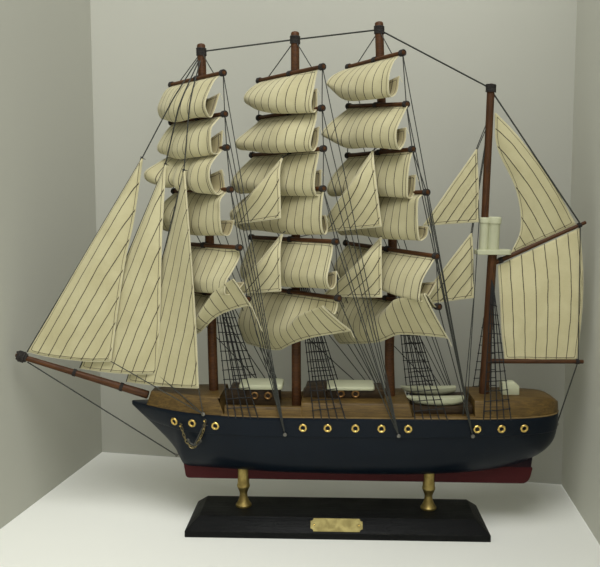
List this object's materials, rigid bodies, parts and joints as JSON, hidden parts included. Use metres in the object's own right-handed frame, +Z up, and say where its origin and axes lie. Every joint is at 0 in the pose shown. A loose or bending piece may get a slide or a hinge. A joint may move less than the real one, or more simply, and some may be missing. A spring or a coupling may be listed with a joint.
{
  "type": "model sailing ship",
  "caption": "Square-rigged display ship on a plinth: carved hull on turned pedestals, stepped masts with braced yards, curled cloth sails, thread rigging and hanging anchors.",
  "frame": {"origin": "centre of the plinth's underside", "axes": "+X runs aft along the keel (the bow points to -X), -Y is the port side, +Z is up"},
  "size_m": [0.5147, 0.1203, 0.4496],
  "materials": {
    "plinth_wood": "satin black stain with the grain showing",
    "polished_brass": "polished",
    "pedestal_brass": "lacquered, slightly dulled",
    "screw_steel": "plain",
    "navy_paint": "gloss navy paint over carved wood",
    "maroon_paint": "gloss maroon paint over wood",
    "deck_wood": "varnished",
    "house_wood": "dark varnish",
    "white_paint": "satin white paint",
    "spar_wood": "reddish stain, varnished",
    "sailcloth": "stiffened cream cloth with drawn seams",
    "rigging_thread": "waxed thread",
    "chain_brass": "dull",
    "anchor_iron": "black paint"
  },
  "bodies": {
    "ship": {"backstays": "rigging_thread", "boat_chocks": "house_wood", "boom": "spar_wood", "bowsprit": "spar_wood", "bridge_deck": "deck_wood", "companions": "house_wood", "flying_jib": "sailcloth", "fore_course": "sailcloth", "fore_house": "house_wood", "fore_mast": "spar_wood", "fore_shrouds": "rigging_thread", "fore_topsail": "sailcloth", "fore_upper_sails": "sailcloth", "fore_yards": "spar_wood", "forecastle": "deck_wood", "gaff": "spar_wood", "gaff_topsail": "sailcloth", "house_portholes": "polished_brass", "house_roofs": "white_paint", "hull": "navy_paint", "hull_pins": "polished_brass", "inner_jib": "sailcloth", "jigger_mast": "spar_wood", "jigger_shrouds": "rigging_thread", "jigger_staysails": "sailcloth", "jigger_top": "white_paint", "jigger_topmast": "spar_wood", "keel": "maroon_paint", "lifeboats": "white_paint", "main_course": "sailcloth", "main_deck": "deck_wood", "main_mast": "spar_wood", "main_shrouds": "rigging_thread", "main_staysails": "sailcloth", "main_topsail": "sailcloth", "main_upper_sails": "sailcloth", "main_yards": "spar_wood", "mid_house": "house_wood", "mizzen_course": "sailcloth", "mizzen_mast": "spar_wood", "mizzen_shrouds": "rigging_thread", "mizzen_staysails": "sailcloth", "mizzen_topsail": "sailcloth", "mizzen_upper_sails": "sailcloth", "mizzen_yards": "spar_wood", "nameplate": "polished_brass", "nameplate_nails": "polished_brass", "outer_jib": "sailcloth", "pedestal_screws": "screw_steel", "pedestals": "pedestal_brass", "plinth": "plinth_wood", "poop": "deck_wood", "portholes": "polished_brass", "spanker": "sailcloth", "stays": "rigging_thread", "wheelhouse": "white_paint"},
    "port_anchor_loop": {"port_anchor": "anchor_iron", "port_chain": "chain_brass"},
    "starboard_anchor_loop": {"starboard_anchor": "anchor_iron", "starboard_chain": "chain_brass"}
  },
  "joints": [
    {"name": "port_anchor_swing", "type": "hinge", "parent": "ship", "child": "port_anchor_loop", "pos_m": [-0.12665, -0.02762, 0.10134], "axis": [-0.9358, 0.233, -0.2645], "range_deg": [-8, 22]},
    {"name": "starboard_anchor_swing", "type": "hinge", "parent": "ship", "child": "starboard_anchor_loop", "pos_m": [-0.12665, 0.02762, 0.10134], "axis": [0.9358, 0.233, 0.2645], "range_deg": [-8, 22]}
  ]
}
